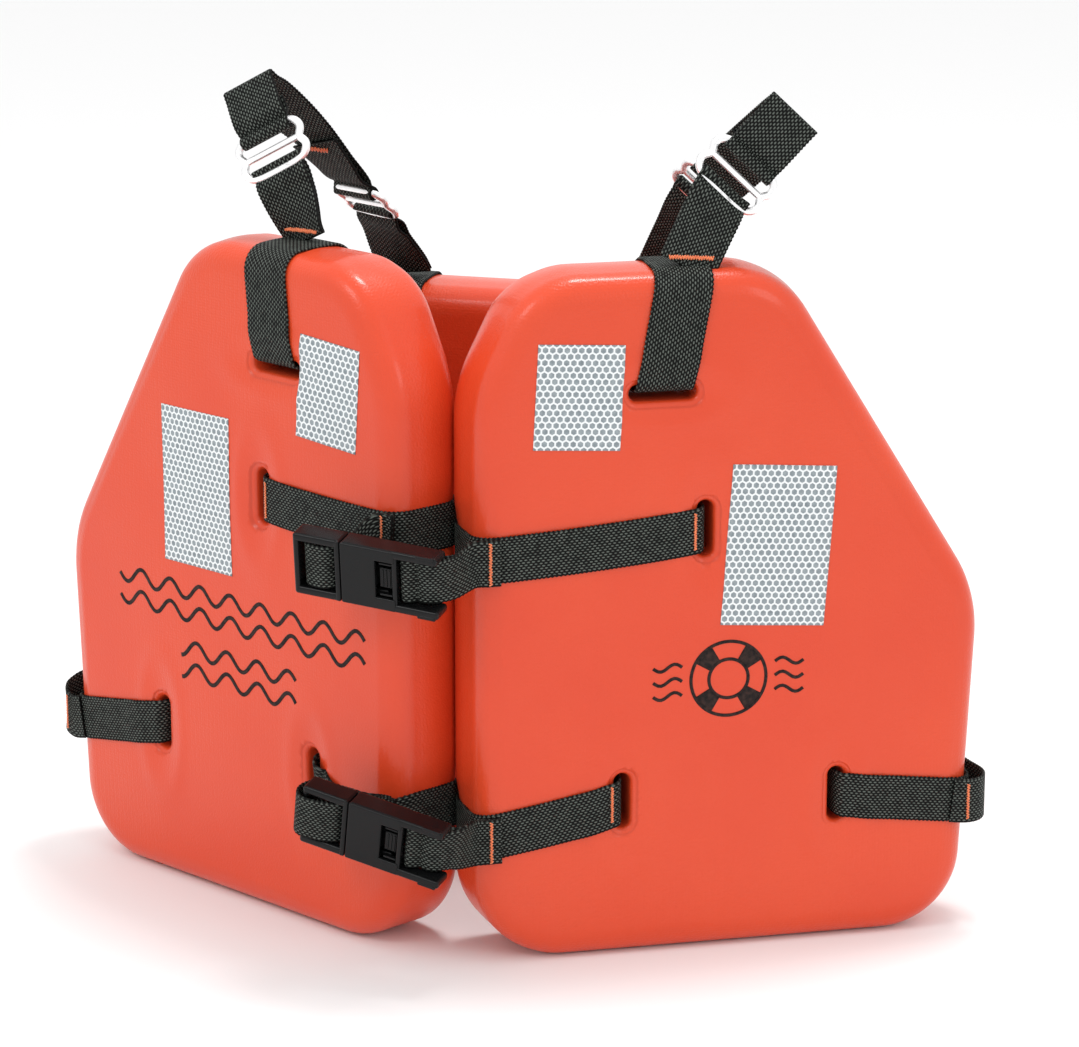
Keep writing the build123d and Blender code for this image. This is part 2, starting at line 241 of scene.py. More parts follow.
def add(tree, kind, inputs=None, **settings):
    node = tree.nodes.new(kind)
    for key, value in settings.items():
        setattr(node, key, value)
    for key, value in (inputs or {}).items():
        if isinstance(value, bpy.types.NodeSocket):
            tree.links.new(value, node.inputs[key])
        else:
            node.inputs[key].default_value = value
    return node


def mathNode(tree, operation, a, b=0.0, c=0.0):
    return add(tree, "ShaderNodeMath", {0: a, 1: b, 2: c}, operation=operation).outputs[0]


def ramp(tree, fac, stops):
    node = add(tree, "ShaderNodeValToRGB", {"Fac": fac})
    points = node.color_ramp.elements
    while len(points) < len(stops):
        points.new(0.5)
    for point, (place, color) in zip(points, stops):
        point.position, point.color = place, (*color, 1)
    return node.outputs["Color"]


def objectAt(tree):
    return add(tree, "ShaderNodeTexCoord").outputs["Object"]


def alongAt(tree):
    # the piece's own UV map, in millimetres
    return add(tree, "ShaderNodeUVMap", uv_map="along").outputs["UV"]


def noiseAt(tree, where, scale, detail):
    return add(tree, "ShaderNodeTexNoise", {"Vector": where, "Scale": scale, "Detail": detail}).outputs["Fac"]


def roughBetween(tree, bsdf, value, low, high):
    spread = add(tree, "ShaderNodeMapRange", {"Value": value, "To Min": low, "To Max": high}).outputs[0]
    tree.links.new(spread, bsdf.inputs["Roughness"])


def bumpFrom(tree, bsdf, height, strength, distance):
    bump = add(tree, "ShaderNodeBump", {"Height": height, "Strength": strength, "Distance": distance})
    tree.links.new(bump.outputs["Normal"], bsdf.inputs["Normal"])


def vinylFinish():
    # dipped vinyl: a faint mottle, a fine cloth-like print in patches and a soft orange peel
    mat, tree, bsdf = shaderOf("dippedVinyl", (0.7, 0.06, 0.02), 0.4, Specular_IOR_Level=0.3, Coat_Weight=0.3,
                               Coat_Roughness=0.15)
    where = objectAt(tree)
    slow, fine = noiseAt(tree, where, 9.0, 3.0), noiseAt(tree, where, 900.0, 2.0)
    cells = add(tree, "ShaderNodeTexVoronoi", {"Vector": where, "Scale": 620.0, "Randomness": 0.35})
    color = ramp(tree, slow, [(0.3, (0.665, 0.052, 0.0135)), (0.7, (0.705, 0.067, 0.019))])
    tree.links.new(color, bsdf.inputs["Base Color"])
    roughBetween(tree, bsdf, slow, 0.27, 0.42)
    patchy = ramp(tree, slow, [(0.42, (0.1, 0.1, 0.1)), (0.62, (1, 1, 1))])
    both = mathNode(tree, "MULTIPLY_ADD", cells.outputs["Distance"], patchy, fine)
    bumpFrom(tree, bsdf, both, 0.3, 0.0007)
    return mat


def webFinish():
    # webbing: rows of short floats along the length, each row half a float on from the last;
    # height = |sin(pi * across / row)| * sin(pi * fract(along / float + row / 2)) * (fuzz + base)
    mat, tree, bsdf = shaderOf("blackWebbing", (0.012, 0.013, 0.012), 0.62, Specular_IOR_Level=0.12)
    weave = {"row": 1.5, "float": 2.7, "base": 0.35}
    parts = add(tree, "ShaderNodeSeparateXYZ", {"Vector": alongAt(tree)})
    row = mathNode(tree, "DIVIDE", parts.outputs["X"], weave["row"])
    half = mathNode(tree, "MULTIPLY", mathNode(tree, "FLOOR", row), 0.5)
    place = mathNode(tree, "MULTIPLY_ADD", parts.outputs["Y"], 1 / weave["float"], half)
    ridge = mathNode(tree, "ABSOLUTE", mathNode(tree, "SINE", mathNode(tree, "MULTIPLY", row, math.pi)))
    bead = mathNode(tree, "SINE", mathNode(tree, "MULTIPLY", mathNode(tree, "FRACT", place), math.pi))
    fuzz = mathNode(tree, "ADD", noiseAt(tree, objectAt(tree), 260.0, 3.0), weave["base"])
    height = mathNode(tree, "MULTIPLY", mathNode(tree, "MULTIPLY", ridge, bead), fuzz)
    # the colour follows the height: painted shade, darker than the yarn, in the hollows between floats and a painted
    # highlight, grey-green, on the tops of the floats
    color = ramp(tree, height, [(0.1, (0.0022, 0.0024, 0.0022)), (0.4, (0.011, 0.0125, 0.0112)),
                                (0.72, (0.125, 0.142, 0.125))])
    tree.links.new(color, bsdf.inputs["Base Color"])
    bumpFrom(tree, bsdf, height, 1.0, 0.0007)
    return mat


def buckleFinish():
    # moulded plastic: worn patches in the gloss and a fine grain
    mat, tree, bsdf = shaderOf("mouldedBlack", (0.005, 0.0052, 0.0055), 0.22, Specular_IOR_Level=0.2)
    where = objectAt(tree)
    roughBetween(tree, bsdf, noiseAt(tree, where, 70.0, 4.0), 0.16, 0.3)
    bumpFrom(tree, bsdf, noiseAt(tree, where, 1500.0, 2.0), 0.12, 0.0002)
    return mat


def nickelFinish():
    mat, tree, bsdf = shaderOf("brightNickel", (0.93, 0.93, 0.935), 0.3, 0.85)
    roughBetween(tree, bsdf, noiseAt(tree, objectAt(tree), 160.0, 4.0), 0.26, 0.42)
    return mat


def threadFinish():
    mat, tree, bsdf = shaderOf("orangeThread", (0.86, 0.17, 0.05), 0.6, Sheen_Weight=0.3)
    twist = noiseAt(tree, objectAt(tree), 1800.0, 2.0)
    color = ramp(tree, twist, [(0.3, (0.62, 0.09, 0.03)), (0.65, (0.95, 0.27, 0.09))])
    tree.links.new(color, bsdf.inputs["Base Color"])
    return mat


def reflectiveFinish():
    # honeycomb sheet: two offset lattices of cell centres, the nearer one wins, and the cell wall is where the
    # hexagonal distance to it, the larger of dx and dx / 2 + dy * cos 30, is large
    mat, tree, bsdf = shaderOf("honeycombTape", (0.5, 0.53, 0.55), 0.4, Specular_IOR_Level=0.2, Coat_Weight=0.08,
                               Coat_Roughness=0.15)
    tape = {"pitch": 3.9, "wall": (0.345, 0.40)}
    where = alongAt(tree)
    parts = add(tree, "ShaderNodeSeparateXYZ", {"Vector": where})
    x = mathNode(tree, "DIVIDE", parts.outputs["X"], tape["pitch"])
    y = mathNode(tree, "DIVIDE", parts.outputs["Y"], tape["pitch"] * math.sqrt(3))

    def fromMiddle(value, shift):
        cell = mathNode(tree, "FRACT", mathNode(tree, "ADD", value, shift))
        return mathNode(tree, "ABSOLUTE", mathNode(tree, "SUBTRACT", cell, 0.5))

    def hexAway(shift):
        dx = fromMiddle(x, shift)
        dy = mathNode(tree, "MULTIPLY", fromMiddle(y, shift), math.sqrt(3))
        slant = mathNode(tree, "ADD", mathNode(tree, "MULTIPLY", dx, 0.5), mathNode(tree, "MULTIPLY", dy, 0.866))
        return mathNode(tree, "MAXIMUM", dx, slant)

    away = mathNode(tree, "MINIMUM", hexAway(0.0), hexAway(0.5))
    cell = ramp(tree, noiseAt(tree, where, 0.35, 5.0), [(0.3, (0.19, 0.225, 0.245)), (0.7, (0.32, 0.365, 0.385))])
    wallFrom, wallTo = tape["wall"]
    wall = add(tree, "ShaderNodeMapRange", {"Value": away, "From Min": wallFrom, "From Max": wallTo}).outputs[0]
    mix = add(tree, "ShaderNodeMix", {"Factor": wall}, data_type="RGBA")
    tree.links.new(cell, mix.inputs["A"])
    mix.inputs["B"].default_value = (0.80, 0.83, 0.84, 1)
    tree.links.new(mix.outputs["Result"], bsdf.inputs["Base Color"])
    bumpFrom(tree, bsdf, wall, 0.4, 0.0003)
    return mat


def inkFinish():
    mat, tree, bsdf = shaderOf("printedInk", (0.02, 0.016, 0.015), 0.5, Specular_IOR_Level=0.1)
    worn = noiseAt(tree, objectAt(tree), 420.0, 4.0)
    color = ramp(tree, worn, [(0.35, (0.012, 0.010, 0.010)), (0.7, (0.045, 0.026, 0.022))])
    tree.links.new(color, bsdf.inputs["Base Color"])
    return mat


vinyl, webbing, moulded, nickel = vinylFinish(), webFinish(), buckleFinish(), nickelFinish()
thread, honeycomb, ink = threadFinish(), reflectiveFinish(), inkFinish()
say("materials ready")


# the padded panels
def outlineOf(corners, rounds, count):
    # polygon with a circular arc at each corner, resampled evenly; returns points and outward normals
    c = np.asarray(corners, float)
    chain = []
    for a, b, d, r in zip(np.roll(c, 1, 0), c, np.roll(c, -1, 0), rounds):
        e, f = unit(a - b), unit(d - b)
        half = math.acos(float(np.clip(e @ f, -1, 1))) / 2
        mid = b + unit(e + f) * (r / math.sin(half))
        p0, p1 = b + e * (r / math.tan(half)), b + f * (r / math.tan(half))
        a0, a1 = math.atan2(*(p0 - mid)[::-1]), math.atan2(*(p1 - mid)[::-1])
        sweep = (a1 - a0 + math.pi) % (2 * math.pi) - math.pi
        t = a0 + sweep * np.linspace(0, 1, 40)
        chain.append(mid + r * np.stack([np.cos(t), np.sin(t)], 1))
    dense = np.concatenate(chain + [chain[0][:1]])
    run = np.concatenate([[0], np.cumsum(np.linalg.norm(np.diff(dense, axis=0), axis=1))])
    even = np.linspace(0, run[-1], count + 1)[:-1]
    pts = np.stack([np.interp(even, run, dense[:, i]) for i in range(2)], 1)
    tangent = unit(np.roll(pts, -1, 0) - np.roll(pts, 1, 0))
    normal = np.stack([tangent[:, 1], -tangent[:, 0]], 1)
    area = np.sum(pts[:, 0] * np.roll(pts[:, 1], -1) - np.roll(pts[:, 0], -1) * pts[:, 1])
    return pts, normal if area > 0 else -normal


def padSurface(name, place, corners, rounds, seat, side, centre, count=420, rings=46):
    # rings shrink from the soft rim to the centre on both faces; the rim is a quarter circle each way, the wall
    # between them swells a little, and a front panel's inner wall swells more
    pts, normal = outlineOf(corners, rounds, count)
    r, depth = vest["edge"], vest["depth"]
    middle = np.asarray(centre, float)
    grow = np.linspace(0.02, 1, rings)[:, None, None]
    face = middle + grow * (pts - normal * r - middle)
    lift = faceLift(side, face[..., 0], face[..., 1], seat)
    turn = np.linspace(0, math.pi / 2, 11)[1:]
    rimAt = pts[None] - normal[None] * (r * (1 - np.sin(turn)))[:, None, None]
    rimV = np.broadcast_to((r * (1 - np.cos(turn)))[:, None], rimAt.shape[:2])
    swell = np.sin(np.linspace(0, math.pi, 7)[1:-1])
    bulge = 0.9 * np.clip(1 + normal[:, 1] * 1.6, 0, 1)
    wallAt = pts[None] + normal[None] * (swell[:, None] * bulge[None])[..., None]
    wallV = np.broadcast_to((r + (depth - 2 * r) * np.linspace(0, 1, 7)[1:-1])[:, None], wallAt.shape[:2])
    sides = np.concatenate([rimAt, wallAt, rimAt[::-1]])
    sidesV = np.concatenate([rimV, wallV, depth - rimV[::-1]])
    if place is panelPoint:
        inward = np.clip((-normal[:, 0] - 0.4) / 0.6, 0, 1)
        sides = sides + normal[None] * (innerSwell(side, sidesV, sides[..., 1]) * inward[None])[..., None]
    at = np.concatenate([face, sides, face[::-1]])
    v = np.concatenate([-lift, sidesV, depth + lift[::-1]])
    grid = place(side, at[..., 0], v, at[..., 1])
    rows, cols = grid.shape[:2]
    index = np.arange(rows * cols).reshape(rows, cols)
    nextCol = np.roll(index, -1, 1)
    first = np.stack([np.full(cols, rows * cols), nextCol[0], index[0]], 1)
    last = np.stack([np.full(cols, rows * cols + 1), index[-1], nextCol[-1]], 1)
    verts = np.concatenate([grid.reshape(-1, 3), np.stack([grid[0].mean(0), grid[-1].mean(0)])])
    obj = finishMesh(name, verts, cellQuads(index, nextCol).tolist() + first.tolist() + last.tolist(), vinyl)
    fixNormals(obj)
    return obj


def fixNormals(obj):
    bm = bmesh.new()
    bm.from_mesh(obj.data)
    bmesh.ops.recalc_face_normals(bm, faces=bm.faces)
    bm.to_mesh(obj.data)
    bm.free()


slotLip = {"radius": 3.4, "steps": 7, "lead": 6.0, "reach": 9.0}


def slotCutter(name, place, side, u, w, tall):
    # a stadium carried through the panel; at both faces it flares by lip * (1 - sin a) at depth lip * (1 - cos a)
    turn = np.linspace(0, 2 * math.pi, 65)[:-1]
    r, depth, lip = vest["slotWide"] / 2, vest["depth"], slotLip["radius"]
    half = (vest["slotLong" if tall else "topSlotLong"] - vest["slotWide"]) / 2
    a = np.linspace(0, math.pi / 2, slotLip["steps"])[1:]
    flare = np.concatenate([[slotLip["lead"], lip], lip * (1 - np.sin(a))])
    down = np.concatenate([[-slotLip["reach"], 0.0], lip * (1 - np.cos(a))])
    down, flare = np.concatenate([down, depth - down[::-1]]), np.concatenate([flare, flare[::-1]])
    longAxis = (r + flare)[:, None] * np.sin(turn)[None] + half * np.sign(np.sin(turn) + 1e-9)[None]
    shortAxis = (r + flare)[:, None] * np.cos(turn)[None]
    uu, ww = (shortAxis, longAxis) if tall else (longAxis, shortAxis)
    obj = gridMesh(name, place(side, u + uu, np.broadcast_to(down[:, None], uu.shape), w + ww), vinyl)
    fixNormals(obj)
    return obj


def cutSlots(obj, cutters):
    for cutter in cutters:
        mod = obj.modifiers.new("slot", "BOOLEAN")
        mod.operation, mod.solver, mod.object = "DIFFERENCE", "EXACT", cutter
    deps = bpy.context.evaluated_depsgraph_get()
    mesh = bpy.data.meshes.new_from_object(obj.evaluated_get(deps))
    obj.modifiers.clear()
    obj.data = mesh
    mesh.polygons.foreach_set("use_smooth", np.full(len(mesh.polygons), True))
    for cutter in cutters:
        bpy.data.objects.remove(cutter)


for side in (1, -1):
    pad = padSurface(sideName[side] + "Panel", panelPoint, vest["corners"][side], vest["rounds"], frontSeat[side],
                     side, (140, 170))
    cutSlots(pad, [slotCutter("cutter", panelPoint, side, *vest[k][side], k != "shoulder") for k in frontSlots])
    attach(pad, sideName[side] + "_front")
    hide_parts(sideName[side] + "_front_skin", sideName[side] + "_front_foam")
backPad = padSurface("backPanel", backPoint, vest["backCorners"], vest["backRounds"], backSeat, 1, (0, 160))
cutSlots(backPad, [slotCutter("cutter", backPoint, k, *vest[n][k], n == "backSide")
                   for n in backSlots for k in (1, -1)])
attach(backPad, "back")
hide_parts("back_skin", "back_foam")
say("panels ready")




# webbing: a flat section with scalloped selvedges; the mouths are the ways out of a slot, as steps from it
web = {"wide": 25.4, "thick": 1.5, "across": 14, "scallop": 0.28, "pitch": 2.3, "step": 1.15, "clear": 1.2,
       "stand": 1.0, "mouth": [(0.3, 22.0), (0.3, 9.0), (1.0, 3.0), (3.4, -0.6)], "wall": (19.0, 25.0, 31.0),
       "topMouth": [(20.0, 0.5), (8.0, 0.4), (2.4, 1.4), (-0.4, 4)]}


def webAlong(name, points, across, body, nodes=(), wide=web["wide"]):
    # a flat rounded section carried along a smooth path; the selvedges are scalloped by the weft, as
    # scallop * sin(2 pi * run / pitch) at the edges only
    centre, side, length = smoothPath(points, web["step"], across)
    tangent = unit(np.gradient(centre, axis=0))
    side = unit(side - tangent * np.sum(side * tangent, 1, keepdims=True))
    normal = np.cross(tangent, side)
    run = np.linspace(0, length, len(centre))
    h = web["thick"] / 2
    flat = np.linspace(-1, 1, web["across"])
    bow = np.linspace(-math.pi / 2, math.pi / 2, 6)[1:-1]
    x = np.concatenate([flat, 1 + 0 * bow, flat[::-1], -1 + 0 * bow])
    lip = np.concatenate([0 * flat, np.cos(bow) * h, 0 * flat, -np.cos(bow) * h])
    z = np.concatenate([0 * flat - h, np.sin(bow) * h, 0 * flat + h, -np.sin(bow) * h])
    edge = np.abs(x) ** 14
    wave = np.sin(2 * math.pi * run / web["pitch"])[:, None]
    halfWide = (wide / 2 - h) + web["scallop"] * wave * edge[None]
    off = x[None] * halfWide + lip[None]
    grid = centre[:, None] + side[:, None] * off[..., None] + normal[:, None] * z[None, :, None]
    u = np.concatenate([x, x[:1]]) * wide / 2 + 50
    uv = np.stack(np.meshgrid(run, u, indexing="ij")[::-1], -1)
    obj = gridMesh(name, grid, webbing, uv=uv)
    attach(obj, body) if isinstance(body, str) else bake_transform(obj)
    if nodes:
        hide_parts(*nodes)
    return obj


def tubeAlong(name, points, radius, material, body, sides=8, step=0.6, closed=False):
    # a round section carried along a smooth path; a closed one runs on over its own first points
    centre = smoothPath(list(points) + (list(points[:3]) if closed else []), step)[0]
    if closed:
        centre = centre[:-1]
    tangent = unit(np.gradient(centre, axis=0))
    a = unit(np.cross(tangent, np.array([0.31, 0.52, 0.79])))
    b = np.cross(tangent, a)
    t = np.linspace(0, 2 * math.pi, sides + 1)[:-1]
    circle = a[:, None] * np.cos(t)[None, :, None] + b[:, None] * np.sin(t)[None, :, None]
    obj = gridMesh(name, centre[:, None] + radius * circle, material)
    fixNormals(obj)
    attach(obj, body) if isinstance(body, str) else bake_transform(obj)
    return obj


stitch = {"radius": 0.42, "uneven": 0.15, "beat": 2.3, "low": 0.25, "rise": 0.2, "step": 0.5}


def threadTack(name, centre, along, out, long, body, passes=15, reach=1.1):
    # a bar tack: one thread zigzags from side to side while it steps along the bar by long / (2 * passes)
    centre, along, out = np.asarray(centre, float), unit(np.asarray(along, float)), unit(np.asarray(out, float))
    cross = np.cross(along, out)
    k = np.arange(passes * 2 + 1)
    t = (k / (passes * 2) - 0.5) * long
    sway = np.where(k % 2 == 0, -reach, reach) * (1 + stitch["uneven"] * np.sin(k * stitch["beat"]))
    high = (stitch["low"] + stitch["rise"] * (k % 2))[:, None]
    pts = centre + along * t[:, None] + cross * sway[:, None] + out * high
    obj = tubeAlong(name, pts, stitch["radius"], thread, body, 6, stitch["step"])
    return obj


def bandRound(side, slotAt, sag, edgeU, outer=False):
    # control points of a web through a slot and round a panel's edge, u, v and w in the panel's own frame;
    # it hangs by sag[0] * share + 4 * sag[1] * share * (1 - share), share being the way from slot to edge
    u0, w0 = slotAt
    depth, r, sgn = vest["depth"], vest["edge"] + web["clear"], 1 if outer else -1
    turn = np.linspace(0, math.pi / 2, 6)
    flatU = np.linspace(u0 + sgn * 6.5, edgeU - sgn * (r + 2), 6)
    mouth = [(u0 + sgn * a, b) for a, b in web["mouth"]]
    rim = [(edgeU - sgn * (r - r * math.sin(t)), r - r * math.cos(t) - web["clear"]) for t in turn]
    path = mouth + [(u, None) for u in flatU] + rim + [(edgeU, v) for v in web["wall"]]
    path += [(a, depth - b) for a, b in rim[::-1]] + [(u, "rear") for u in flatU[::-1]]
    path += [(a, depth - b) for a, b in mouth[::-1]]
    out = []
    for u, v in path:
        share = float(np.clip(abs(u - u0) / max(abs(edgeU - u0), 1), 0, 1))
        w = w0 - sag[0] * share - 4 * sag[1] * share * (1 - share)
        if v is None:
            v = -(liftAt(side, u, w) + web["stand"])
        elif v == "rear":
            v = depth + liftAt(side, u, w) + web["stand"]
        elif not outer and share > 0.9:
            u = u - float(innerSwell(side, np.float64(v), np.float64(w)))
        out.append((u, v, w))
    return np.array(out)


def allAlong(count, direction):
    return np.zeros((count, 3)) + direction


for side in (1, -1):
    for key in ("chest", "waist"):
        uvw = bandRound(side, vest[key][side], hang[key, side], -web["clear"])
        webAlong(f"{sideName[side]}{key.title()}Web", panelPoint(side, *uvw.T), allAlong(len(uvw), (0, 0, 1)),
                 sideName[side] + "_front", [f"{sideName[side]}_{key}_web"])
say("belts ready")

# side webs: a band round a front panel's outer edge, and a web from it out and round the back panel's edge
sideLoop = {
    "out": {1: [(268, -2.6), (277, -2.4), (284.5, 0.5), (289.5, 7), (291, 15), (288, 26), (283, 38), (274, 50)],
            -1: [(261, -2.6), (270, -2.0), (278, 0.5), (283, 7), (283.5, 15), (279, 26), (274, 38), (265, 50)]},
    "edge": {1: 281.0, -1: 272.5}, "drop": {1: 9, -1: 14}, "rise": {1: 0, -1: 10}, "joint": {1: 170.0, -1: -182.0},
    "jointY": 191, "hangs": np.array([0.86, 0.97, 1, 1, 1, 0.92, 0.75, 0.5]), "leave": 14, "join": 8,
    "backU": [160.4, 158.6, 151, 135, 118, 110.5, 108.4, 108.0], "backV": [22, 40, 50.4, 53.4, 53.4, 51.5, 46, 34],
}
for side in (1, -1):
    name, w0, drop = sideName[side], vest["side"][side][1], sideLoop["drop"][side]
    uvw = bandRound(side, vest["side"][side], (drop, 0), sideLoop["edge"][side], outer=True)
    webAlong(name + "SideBand", panelPoint(side, *uvw.T), allAlong(len(uvw), (0, 0, 1)), name + "_front",
             [name + "_side_web"])
    loop = np.array(sideLoop["out"][side], float)
    rise = sideLoop["rise"][side] * np.clip(np.arange(len(loop)) - 1, 0, 4) / 4
    start = panelPoint(side, loop[:, 0], loop[:, 1], w0 - drop * sideLoop["hangs"] + rise)
    joint = toGround((sideLoop["joint"][side], sideLoop["jointY"], 0)) + (0, 0, w0)
    tail = backPoint(side, sideLoop["backU"], sideLoop["backV"], w0)
    path = np.concatenate([start, [(start[-1] + joint) / 2 + (0, 1.5, 0)], [joint], tail])
    lead = unit(start[-1] - joint)
    leaves, joins = tuple((joint + lead * sideLoop["leave"]) / 1000), tuple((joint - lead * sideLoop["join"]) / 1000)
    webAlong(name + "SideWeb", path, allAlong(len(path), (0, 0, 1)), (name + "_front", "back", leaves, joins),
             [f"back_{name}_side_web"])
say("side webs ready")

# shoulder webs; apex and rear foot are in the layout's own frame, the rest in the panel's
shoulder = {"wide": 31.75, "gap": 3.1, "barStep": 10.4, "share": 0.6, "foot": (25, 381), "leanOver": 70,
            "apex": {1: (168, 100, 458), -1: (-135, 100, 461)}, "rearShare": {1: 0.5, -1: 0.66},
            "rearFoot": {1: (69, 210, 340), -1: (-81, 210, 340)}, "lean": {1: 13, -1: 8}, "bulge": {1: 3, -1: 7},
            "footU": {1: 2, -1: 1}, "footV": {1: 12, -1: 33}, "footW": {1: 380.6, -1: 381.6},
            "shift": {1: (-9, 0, 6), -1: (7, 0, 5)}, "twist": {1: 0, -1: -40}, "tackAt": 36}
slide = {"high": 12.2, "endPower": 0.55, "sidePower": 0.5, "waist": 0.13, "waistLong": 3.2, "ring": 2.2, "bar": 1.9,
         "barShare": 0.9, "adjuster": 41, "rear": 39}


def roundBar(bar, toward, turn, gap):
    # the half circle a web makes round a bar, from the turn side, bulging away from toward
    t = np.linspace(-math.pi / 2, math.pi / 2, 5)
    return [bar - toward * (gap * math.cos(a)) - turn * (gap * math.sin(a)) for a in t]


def slideAt(name, centre, along, across, body, wide, nodes):
    # a cast slide: a rounded oblong, x = high * cos^p and y = half * sin^q, pinched at its waist by a bell curve,
    # and one bar across the waist
    half = wide / 2
    t = np.linspace(0, 2 * math.pi, 57)[:-1]
    x = slide["high"] * np.sign(np.cos(t)) * np.abs(np.cos(t)) ** slide["endPower"]
    y = half * np.sign(np.sin(t)) * np.abs(np.sin(t)) ** slide["sidePower"]
    y = y * (1 - slide["waist"] * np.exp(-(x / slide["waistLong"]) ** 2))
    ring = centre + along * x[:, None] + across * y[:, None]
    closedRing = tubeAlong(name, ring, slide["ring"], nickel, body, 12, 0.8, closed=True)
    bar = centre + across * np.linspace(-half * slide["barShare"], half * slide["barShare"], 5)[:, None]
    barPiece = tubeAlong(name + "Bar", bar, slide["bar"], nickel, body, 12, 0.8)
    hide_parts(*nodes)


def overTop(w0, high, lift, count):
    # v and w of a band from its slot up the face, over a panel's top and down the rear, which mirrors the front
    r, clear = vest["edge"] + web["clear"], web["clear"]
    half = [(v, w0 + dw) for v, dw in web["topMouth"]]
    half += [(-(lift(w) + web["stand"]), w) for w in np.linspace(w0 + 8, high - r - 1, count)]
    turn = np.linspace(0, math.pi / 2, 6)
    half += [(r - r * math.cos(a) - clear, high - r + r * math.sin(a) + clear) for a in turn]
    return np.array(half + [(vest["depth"] - v, w) for v, w in half[::-1]])


def awayFrom(direction, other):
    # the direction, or its opposite, whichever points away from the other
    return direction if direction @ other < 0 else -direction


for side in (1, -1):
    name, body = sideName[side], sideName[side] + "_front"
    u0, w0 = vest["shoulder"][side]
    step, gap, lean, bulge = shoulder["barStep"], shoulder["gap"], shoulder["lean"][side], shoulder["bulge"][side]
    wide, leanOver, tackAt = shoulder["wide"], shoulder["leanOver"], shoulder["tackAt"]
    foot = panelPoint(side, u0, *shoulder["foot"])
    top, rest = toGround(shoulder["apex"][side]), toGround(shoulder["rearFoot"][side])
    rear = top + (rest - top) * shoulder["rearShare"][side] + shoulder["shift"][side]
    down, aft = unit(foot - top), unit(rear - top)
    across = unit(np.cross(down, aft))
    faceOut, aftOut = awayFrom(np.cross(across, down), aft), awayFrom(np.cross(across, aft), down)
    middle = foot + (top - foot) * shoulder["share"]
    lowBar, highBar = middle + down * step, middle - down * step
    alongU = panelPoint(side, 1, 0, 0) - panelPoint(side, 0, 0, 0)

    # the band: slot, face, over the top, down the back
    vw = overTop(w0, vest["high"], lambda w: liftAt(side, u0 + lean * (w - w0) / leanOver, w), 5)
    u = u0 + lean * np.clip((vw[:, 1] - w0) / leanOver, 0, 0.9)
    webAlong(name + "ShoulderBand", panelPoint(side, u, vw[:, 0], vw[:, 1]), allAlong(len(u), alongU), body,
             [name + "_shoulder_web"], wide)

    # two layers from the panel's top round the adjuster's lower bar, turning to the bar's direction on the way
    alongU = alongU * np.sign(across @ alongU)
    base = panelPoint(side, u0 + lean + shoulder["footU"][side], shoulder["footV"][side], shoulder["footW"][side])
    rise = lowBar - base
    shares = (0.0, 0.14, 0.35, 0.6, 0.85)
    apart = [1.0 + (gap - 1.0) * max(0, (k - 0.55) / 0.45) for k in shares]
    up = [base + rise * k + faceOut * a for k, a in zip(shares, apart)]
    fall = [base + rise * k - faceOut * a for k, a in zip(shares, apart)]
    path = up + roundBar(lowBar, down, -faceOut, gap)[1:-1] + fall[::-1]
    turned = [min(1.0, max(0.0, (k - 0.06) / 0.6)) for k in shares]
    turned = [k * k * (3 - 2 * k) for k in turned]
    lay = [unit(alongU * (1 - k) + across * k) for k in turned]
    lay = lay + [across] * (len(path) - 2 * len(lay)) + lay[::-1]
    webAlong(name + "ShoulderLoop", path, np.array(lay), body, wide=wide)

    rearHigh, rearLow = rear - aft * step, rear + aft * step
    legLong = float(np.linalg.norm(rearHigh - top))

    def rearLay(k):
        # the rear leg turns about its own line from the fold to the slide; k is the way from the fold
        a = math.radians(shoulder["twist"][side]) * min(1.0, max(0.0, (k - 10) / (legLong - 22))) ** 1.2
        return across * math.cos(a) + aftOut * math.sin(a), aftOut * math.cos(a) - across * math.sin(a)

    def bow(k):
        # how far the leg arches out, a half sine over its length
        return aftOut * (bulge * math.sin(math.pi * k / legLong))

    # the strap: a tail behind the upper bar, round it, up to the fold, down to the rear slide and back up
    slideAcross, slideOut = rearLay(legLong)
    path = [highBar - down * 16 - faceOut * 2.4, highBar - down * 8 - faceOut * 3.0]
    path += roundBar(highBar, -down, faceOut, gap)
    path += [highBar - down * k + faceOut * (gap - 0.01 * k) for k in (8, 18)]
    path += [top + down * 5 + faceOut * 2.2, top + (faceOut + aftOut) * 1.4 - (down + aft) * 0.6,
             top + aft * 5 + aftOut * 2.2]
    lay = [across] * len(path)
    for k in np.linspace(14, legLong - 6, 5):
        path.append(top + aft * k + bow(k) + rearLay(k)[1] * 2.6)
        lay.append(rearLay(k)[0])
    path += roundBar(rearHigh, -aft, -slideOut, gap)
    lay += [slideAcross] * 5
    for k in (10, 20, 32, 40):
        path.append(rearHigh - aft * k + bow(legLong - k) - rearLay(legLong - k)[1] * 0.4)
        lay.append(rearLay(legLong - k)[0])
    webAlong(name + "ShoulderStrap", path, np.array(lay), body, [name + "_shoulder_strap"], wide)
    slideAt(name + "Adjuster", middle, down, across, body, slide["adjuster"], [name + "_adjuster"])
    slideAt(name + "RearSlide", rear, aft, slideAcross, body, slide["rear"], [name + "_rear_slide"])

    # two layers from the rear slide to the back panel's top
    drop = rest - rearLow
    acrossX, fall = np.array([1.0, 0, 0]) * np.sign(across[0]), unit(drop)

    def loopLay(k):
        # across the web and out of its face, turning from the slide's direction to the panel's
        t = min(1.0, max(0.0, (k - 0.1) / 0.75))
        a = unit(slideAcross * (1 - t) + acrossX * t)
        a = unit(a - fall * (a @ fall))
        out = np.cross(a, fall)
        return a, out * np.sign(out @ aftOut)

